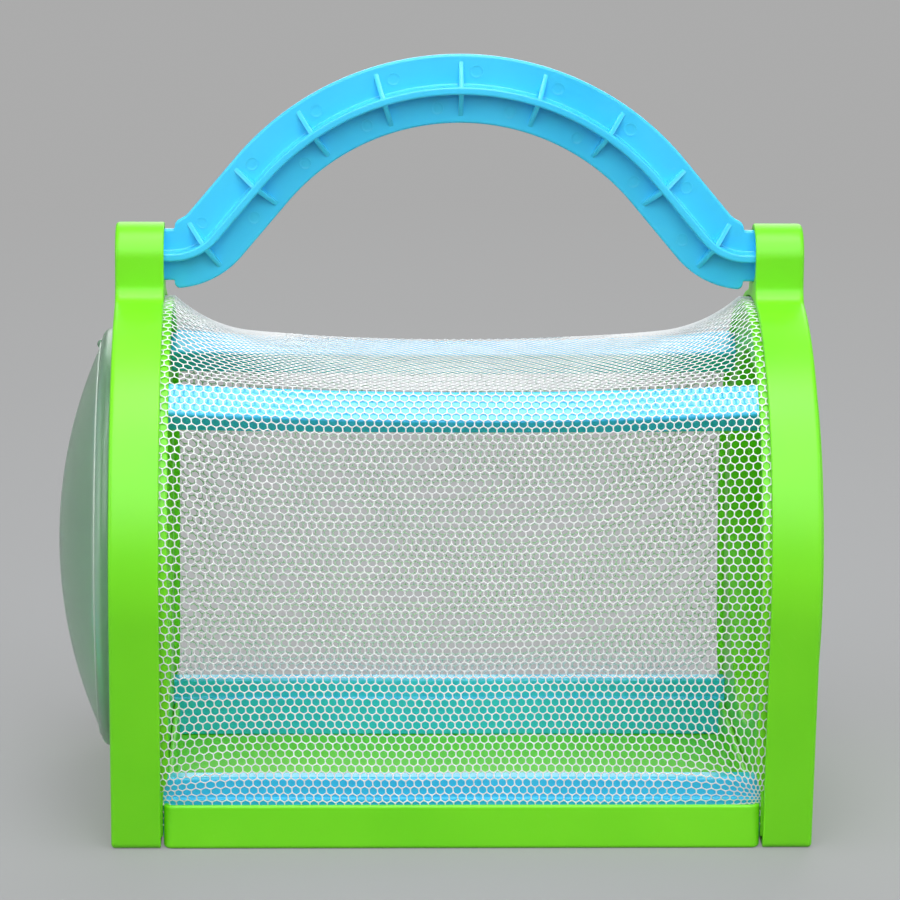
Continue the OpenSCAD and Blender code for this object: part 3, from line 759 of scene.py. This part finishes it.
# the domed lid: out over the dome as part of a sphere, over the rim as part of an ellipse, down the skirt
# and back up the inside
def lidProfile():
    rimR, rimT = lid["rimR"], lid["rimT"]
    ball = (lid["domeR"] ** 2 + lid["domeH"] ** 2) / (2 * lid["domeH"])
    middle = rimT + lid["domeH"] - ball

    # radius and height on a sphere round the dome's centre, from one angle to another
    def sphere(radius, fromAngle, toAngle):
        angles = np.linspace(fromAngle, toAngle, lid["domeSteps"])
        return np.stack([radius * np.sin(angles), middle + radius * np.cos(angles)], 1)

    quarter = quarterRound(lid["rimSteps"])
    rim = [rimR, rimT] - np.array(lid["rimRound"]) * quarter
    under = [rimR, 0.0] + lid["underRound"] * quarter[:, ::-1] * [-1, 1]
    skirtR, skirtIn, low = lid["skirtR"], lid["skirtR"] - lid["wall"], -lid["skirtLen"]
    soft, (big, small) = lid["tipRound"], lid["tipBend"]
    skirt = [(skirtR + flatHold, 0.0), (skirtR, lid["skirtFrom"]), (skirtR, low + soft)]
    skirt += [(skirtR - big, low + small), (skirtR - soft, low), (skirtIn + soft, low)]
    skirt += [(skirtIn + small, low + big), (skirtIn, low + soft)]
    dome = sphere(ball, lid["pole"], math.asin(lid["domeR"] / ball))
    inner = sphere(ball - lid["wall"], math.asin(skirtIn / (ball - lid["wall"])), lid["pole"])
    return np.concatenate([dome, rim, under, skirt, inner])


# the nub: half an egg on the rim, straight above the lid's middle, its radius the cosine of its rise
def makeNub():
    rise = np.linspace(lid["nubFrom"], lid["nubTo"], lid["nubRings"])[:, None, None]
    flat = archMid + [0, lid["domeR"]] + lid["nubR"] * np.cos(rise) * unitCircle(lid["nubSteps"])
    x = -lid["baseX"] - lid["rimT"] - lid["nubR"] * np.sin(rise)
    return loft("lidNub", atX(x, flat), frostedPlastic)


# the bead in the crease between dome and rim: a circle turned round the hole's axis, in a paler, less clear
# plastic that paints a highlight line along the rim
def makeBead():
    far, high = lid["beadAt"]
    circle = lid["beadR"] * unitCircle(lid["beadSteps"])
    flat = archMid + (far + circle[:, :1]) * unitCircle(latheSteps)[:, None]
    x = -lid["baseX"] - high - circle[:, 1:]
    return loft("lidBead", atX(x, flat), paintedHighlightPlastic, closed=True)


domeLid = lathe("domeLid", lidProfile(), lid["baseX"], -1, frostedPlastic)
dress(domeLid, "lid", "frosted_plastic", "domed_lid")
for piece in (makeNub(), makeBead()):
    dress(piece, "lid", "frosted_plastic")
print("lid made")

cap = {
    "baseX": 85.1, "r": 50.5, "thick": 1.6, "skirtR": 46.8, "skirtLen": 8.0, "wall": 1.4, "round": 0.7,
    "steps": 6, "edgeHold": 0.4, "bevel": 0.3, "tip": 0.4, "root": 0.5, "pole": 2.0,
}


# the right end's cap: a flat disc with a round edge and a skirt, with its underside open
def capProfile():
    r, thick, skirt, low = cap["r"], cap["thick"], cap["skirtR"], -cap["skirtLen"]
    bevel, tip, root, inner = cap["bevel"], cap["tip"], cap["root"], cap["skirtR"] - cap["wall"]
    top = [(cap["pole"], thick), (r - cap["round"] - cap["edgeHold"], thick)]
    edge = [r, thick] - cap["round"] * quarterRound(cap["steps"])
    under = [(r, bevel), (r - bevel, 0.0), (skirt + bevel, 0.0), (skirt, -bevel), (skirt, low + tip)]
    under += [(skirt - tip, low), (inner + tip, low), (inner, low + tip), (inner, -root)]
    under += [(inner - root, 0.0), (inner - 2 * root, 0.0), (cap["pole"], 0.0)]
    return np.concatenate([top, edge, under])


endCap = lathe("endCap", capProfile(), cap["baseX"], 1, limePlastic)
dress(endCap, "cage", "green_plastic", "right_end_cap")
print("end cap made")

net = {
    "pitch": 2.06, "edgeX": 74.2, "archX": 70.8, "fade": 14.0, "low": 5.0, "footY": 51.7, "bendZ": 17.35,
    "lift": 0.3, "archOff": 1.9, "endLow": 11.0, "endEase": 8.0,
    "thin": 0.125, "knot": 0.205, "crown": 0.085, "under": 0.06, "crease": 110,
    "stations": (-0.03, 0.5, 1.03),
    "wide": 1.013, "wideRear": 0.06, "fan": 0.0004, "tall": 1.025, "tallRear": 0.1, "change": 12.0,
    "lean": 0.041, "leanChange": 0.00093, "leanRear": 0.045, "sag": 0.0005, "sagLean": 0.01,
    "slowWave": (0.12, 0.21, 0.13), "crossWave": (0.1, -0.07, 0.31), "upWave": (0.15, 0.11, -0.05, 1.0),
    "pulls": [(72.4, 7.0, 10.0, 0.6), (-73.0, 8.0, 8.0, 0.3)],
    "firstRow": -6, "spareRows": 1.1, "sideCols": 48, "probe": 0.05,
}
netArchR = archR - net["archOff"]
faceMid = railMid + railOut * (rails["depth"] / 2 + net["lift"])
cornerLow = faceMid + railDown * rails["width"] / 2
cornerTop = faceMid - railDown * rails["width"] / 2
netFoot = np.array([net["footY"], net["endLow"]])
netBend = np.array([net["footY"], net["bendZ"]])
tuckLen = net["bendZ"] - net["low"]
endTuck = net["endLow"] - net["low"]
slopeLen = np.linalg.norm(cornerLow - netBend)
sideLen = tuckLen + slopeLen
halfTop = rails["width"] + cornerTop[0]
sheetLen = 2 * (sideLen + halfTop)
cornerAt = math.atan2(cornerLow[1] - archZ, cornerLow[0])
sideEnd = tanPoint(net["archOff"])
sideStart = sideEnd - sideUp * (sideEnd[1] - net["endLow"]) / sideUp[1]
straightLen = np.linalg.norm(sideEnd - sideStart)
arcLen = netArchR * (cornerAt - tanAt)


# straight up behind the tray's wall, from the sheet's lower edge
def behindTray(h):
    return np.stack([np.full_like(h, net["footY"]), net["low"] + h], -1)


# the net between the rails, at height h over the sheet: up behind the tray's wall, flat to the upper rail,
# over the rail's face and flat to the middle of the top, all drawn in by the rail's bow
def netBetween(x, h):
    up = np.clip((h - tuckLen) / slopeLen, 0, 1)[..., None]
    t = np.clip(h - sideLen, 0, halfTop)
    onSide = np.where((h <= tuckLen)[..., None], behindTray(h), netBend + (cornerLow - netBend) * up)
    overRail = cornerLow + (cornerTop - cornerLow) * np.clip(t / rails["width"], 0, 1)[..., None]
    flat = np.maximum(t - rails["width"], 0)
    onTop = overRail - np.stack([flat, 0 * flat], -1)
    pull = np.stack([np.clip(onTop[..., 0] / cornerTop[0], 0, 1), np.ones_like(t)], -1)
    side = (h <= sideLen)[..., None]
    return np.where(side, onSide, onTop) - railOut * np.where(side, up, pull) * railBow(x)[..., None]


# the net on the hoops, at height h over the sheet: out from behind the tray to the hoop's straight side
# by a square law, then along the side and over the arch
def netOnHoop(h):
    run = np.clip((h - endTuck) / (sideLen - endTuck), 0, 1) * (straightLen + arcLen)
    straight = sideStart + np.minimum(run, straightLen)[..., None] * sideUp
    curved = onCircle(archMid, netArchR, tanAt + (run - straightLen) / netArchR)
    onSide = np.where((run <= straightLen)[..., None], straight, curved)
    onSide = onSide + (netFoot - sideStart) * (np.clip(1 - run / net["endEase"], 0, 1) ** 2)[..., None]
    onSide = np.where((h <= endTuck)[..., None], behindTray(h), onSide)
    t = np.clip(h - sideLen, 0, halfTop)
    onTop = onCircle(archMid, netArchR, cornerAt + (np.pi / 2 - cornerAt) * t / halfTop)
    return np.where((h <= sideLen)[..., None], onSide, onTop)


# the net's surface at x along the cage and g over it from the front's lower edge: an exponential in the
# distance from a hoop mixes the net on the hoops and the net between the rails
def netPoint(x, g):
    h = np.minimum(g, sheetLen - g)
    side = np.where(g < sheetLen / 2, -1.0, 1.0)
    share = np.exp(-np.maximum(net["archX"] - np.abs(x), 0) / net["fade"])[..., None]
    place = netOnHoop(h) * share + netBetween(x, h) * (1 - share)
    return np.stack([x, side * place[..., 0], place[..., 1]], -1)


# a slow wave over the sheet: a height times the sine of a turn that grows evenly with x and g
def wave(x, g, high, byX, byG, start=0.0):
    return high * np.sin(byX * x + byG * g + start)


# where a point u, v of the even knit lies on the stretched sheet: wider and lower at the rear than at the
# front, leaning, waving and sagging a little, and drawn towards the tray's front corners
def drawnKnit(u, v):
    past = (v - sheetLen / 2) / net["change"]
    rear = 1 / (1 + np.exp(-past))
    g = net["tall"] * v - net["tallRear"] * net["change"] * np.logaddexp(0, past)
    x = u * (net["wide"] + net["wideRear"] * rear) - net["fan"] * u * u * (1 - rear)
    lean = (net["leanChange"] * x - net["lean"]) * (1 - rear) * (g - sideLen / 2)
    lean = lean - net["leanRear"] * rear * (g - sheetLen + sideLen / 2)
    g = g - rear * (net["sagLean"] * x + net["sag"] * x * x)
    x = x + lean + wave(x, g, *net["slowWave"]) + wave(x, g, *net["crossWave"])
    g = g + wave(x, g, *net["upWave"])
    for px, pg, reach, strength in net["pulls"]:
        near = strength * np.exp(-((x - px) ** 2 + (g - pg) ** 2) / (2 * reach * reach))
        x, g = x + near * (px - x), g + near * (pg - g)
    return x, g


# every mesh gives three strands, its right side and its two upper sides; each strand is a three-sided
# tube along the net's surface, wide at its knots and thin between them
def makeStrands():
    p, probe = net["pitch"], net["probe"]
    tall, knotR = p * math.sqrt(3) / 2, p / math.sqrt(3)
    rows = np.arange(net["firstRow"], int(net["spareRows"] * sheetLen / tall))
    cols = np.arange(-net["sideCols"], net["sideCols"] + 1)
    row, col = np.meshgrid(rows, cols, indexing="ij")
    middle = np.stack([(col + 0.5 * (row % 2)) * p, row * tall], -1).reshape(-1, 1, 2)
    right, upper, left = (p / 2, knotR / 2), (0.0, knotR), (-p / 2, knotR / 2)
    starts = (middle + np.array([(p / 2, -knotR / 2), right, upper])[None]).reshape(-1, 2)
    ends = (middle + np.array([right, upper, left])[None]).reshape(-1, 2)
    flat = starts[:, None] + (ends - starts)[:, None] * np.array(net["stations"])[None, :, None]
    x, g = drawnKnit(flat[..., 0], flat[..., 1])
    kept = ((np.abs(x) < net["edgeX"]) & (g > 0) & (g < sheetLen)).all(axis=1)
    x, g = x[kept], g[kept]
    place = netPoint(x, g)
    mx, mg = x[:, 1], g[:, 1]
    slopeX = netPoint(mx + probe, mg) - netPoint(mx - probe, mg)
    slopeG = netPoint(mx, np.minimum(mg + probe, sheetLen)) - netPoint(mx, np.maximum(mg - probe, 0))
    up = unitRows(np.cross(slopeX, slopeG))
    across = np.cross(up, unitRows(place[:, 2] - place[:, 0]))
    wide = np.array([net["knot"], net["thin"], net["knot"]])[None, :, None, None]
    sides = np.stack([across, 0 * across, -across], 1)[:, None] * wide
    lift = np.array([-net["under"], net["crown"], -net["under"]])[None, None, :, None] * up[:, None, None]
    return place[:, :, None] + sides + lift, mg


# cuts the strands into front, top and rear
def makeNets():
    rings, g = makeStrands()
    inFront, atRear = g < sideLen, g > sheetLen - sideLen
    parts = (
        ("netFront", "front_net", inFront, sideLen, ("front_lower_rail", "front_upper_rail")),
        ("netTop", "top_net", ~(inFront | atRear), 2 * halfTop, ("front_upper_rail", "rear_upper_rail")),
        ("netRear", "rear_net", atRear, sideLen, ("rear_lower_rail", "rear_upper_rail")),
    )
    for name, node, kept, length, carriers in parts:
        count = int(kept.sum())
        faces = [ringFaces(count, 3, 3, False), flatEnds(count, 3, 3)]
        piece = putMesh(name, rings[kept], faces, whiteYarn, net["crease"])
        smooth = np.arange(len(piece.data.polygons)) < len(faces[0])  # the strands' ends stay flat
        piece.data.polygons.foreach_set("use_smooth", smooth)
        dress(piece, "cage", "white_net", node)
        carriers = ("left_net_hoop", "right_net_hoop") + carriers
        print(name, count, "strands")


makeNets()
print("net made")

studio = {
    "floor": (110, 112, 114), "floorPale": (113, 115, 117), "floorFar": 9000.0, "floorRough": 0.8,
    "cloudScale": 3.0, "cloudDetail": 2.0, "clouds": (0.3, 0.7), "fade": (0.25, 1.0), "nearGlow": 0.2,
    "white": (1, 1, 1, 1), "backdrop": 0.41, "ambient": 0.14, "aim": (0, 0, 0.09),
    "lamps": [
        ("topLamp", (0.04, -0.24, 1.21), 0.42, 5.0),
        ("frontLamp", (0.0, -0.98, 0.98), 1.3, 16.5),
        ("leftLamp", (-1.2, -0.35, 0.45), 0.7, 4.5),
        ("rightLamp", (1.2, -0.35, 0.45), 0.7, 4.5),
        ("backLamp", (0.1, 1.10, 0.75), 1.0, 6.5),
    ],
}


# one for the rays that show the backdrop, to the eye, in gloss or through clear pieces
def seenRays(tree):
    path = addNode(tree, "LightPath", {})
    seen = addMath(tree, "MAXIMUM", path["Is Camera Ray"], path["Is Glossy Ray"])
    return addMath(tree, "MAXIMUM", seen, path["Is Transmission Ray"])


# the floor: dull near the cage, where it keeps the shadow and a glow makes it as pale as the backdrop, and
# by a straight rise in the distance an even backdrop further off
def floorMaterial():
    material, tree, shader, place = startMaterial("paleFloor")
    cloud = addNoise(tree, place, studio["cloudScale"], studio["cloudDetail"])
    tones = (screenColour(*studio["floor"]), screenColour(*studio["floorPale"]))
    seen = seenRays(tree)
    feed(tree, shader, {
        "Base Color": addMix(tree, addRange(tree, cloud, *studio["clouds"]), *tones),
        "Roughness": studio["floorRough"], "Emission Color": studio["white"],
        "Emission Strength": addMath(tree, "MULTIPLY", seen, studio["nearGlow"]),
    })
    away = addNode(tree, "VectorMath", {0: place}, operation="LENGTH")["Value"]
    far = addMath(tree, "MULTIPLY", addRange(tree, away, *studio["fade"]), seen)
    glow = addNode(tree, "Emission", {"Strength": studio["backdrop"]})[0]
    mixed = addNode(tree, "MixShader", {0: far, 1: shader.outputs[0], 2: glow})[0]
    output = [n for n in tree.nodes if n.type == "OUTPUT_MATERIAL"][0]
    feed(tree, output, {"Surface": mixed})
    return material


# a lamp or camera at a spot, with right, up and back as the columns of its turn
def standAt(name, data, spot, right, up, back):
    holder = bpy.data.objects.new(name, data)
    turn = np.stack([right, up, back], 1)
    holder.matrix_world = Matrix.Translation(spot) @ Matrix(turn.tolist()).to_4x4()
    bpy.context.scene.collection.objects.link(holder)
    return holder


# the floor, a world that shows paler than it lights, and square lamps turned to the cage's middle
def makeStudio():
    far = studio["floorFar"]
    corners = np.array([(-far, -far, 0), (far, -far, 0), (far, far, 0), (-far, far, 0)], dtype=float)
    putMesh("floor", corners, [np.array([[0, 1, 2, 3]])], floorMaterial())
    world = bpy.data.worlds.new("studioWorld")
    world.use_nodes = True
    tree = world.node_tree
    sky = [n for n in tree.nodes if n.type == "BACKGROUND"][0]
    strength = addRange(tree, seenRays(tree), 0.0, 1.0, studio["ambient"], studio["backdrop"])
    feed(tree, sky, {"Color": studio["white"], "Strength": strength})
    bpy.context.scene.world = world
    for name, spot, size, power in studio["lamps"]:
        lamp = bpy.data.lights.new(name, "AREA")
        lamp.size = size
        lamp.energy = power
        back = unitRows(np.array(spot) - studio["aim"])
        right = unitRows(np.cross([0, 0, 1], back))
        standAt(name, lamp, spot, right, np.cross(back, right), back)


makeStudio()

camera = {
    "azimuth": -1.915, "elevation": 11.66, "roll": 0.458, "distance": 1138.44, "aim": (-1.956, 0.0, 87.707),
    "focal": 4550.97, "frame": 900, "sensor": 36, "clipEnd": 50,
}


# the camera stands back from its aim along the view, rolled about it; focal is in pixels of the frame
def makeCamera():
    a, e, r = (math.radians(camera[k]) for k in ("azimuth", "elevation", "roll"))
    back = np.array([math.sin(a) * math.cos(e), -math.cos(a) * math.cos(e), math.sin(e)])
    level = np.array([math.cos(a), math.sin(a), 0])
    above = np.cross(back, level)
    right = math.cos(r) * level + math.sin(r) * above
    up = math.cos(r) * above - math.sin(r) * level
    data = bpy.data.cameras.new("photoCamera")
    data.sensor_width = camera["sensor"]
    data.lens = camera["focal"] * camera["sensor"] / camera["frame"]
    data.clip_end = camera["clipEnd"]
    spot = (np.array(camera["aim"]) + back * camera["distance"]) * mm
    bpy.context.scene.camera = standAt("photoCamera", data, spot, right, up, back)


makeCamera()
bpy.context.scene.view_settings.view_transform = "Standard"
print("studio and camera made")
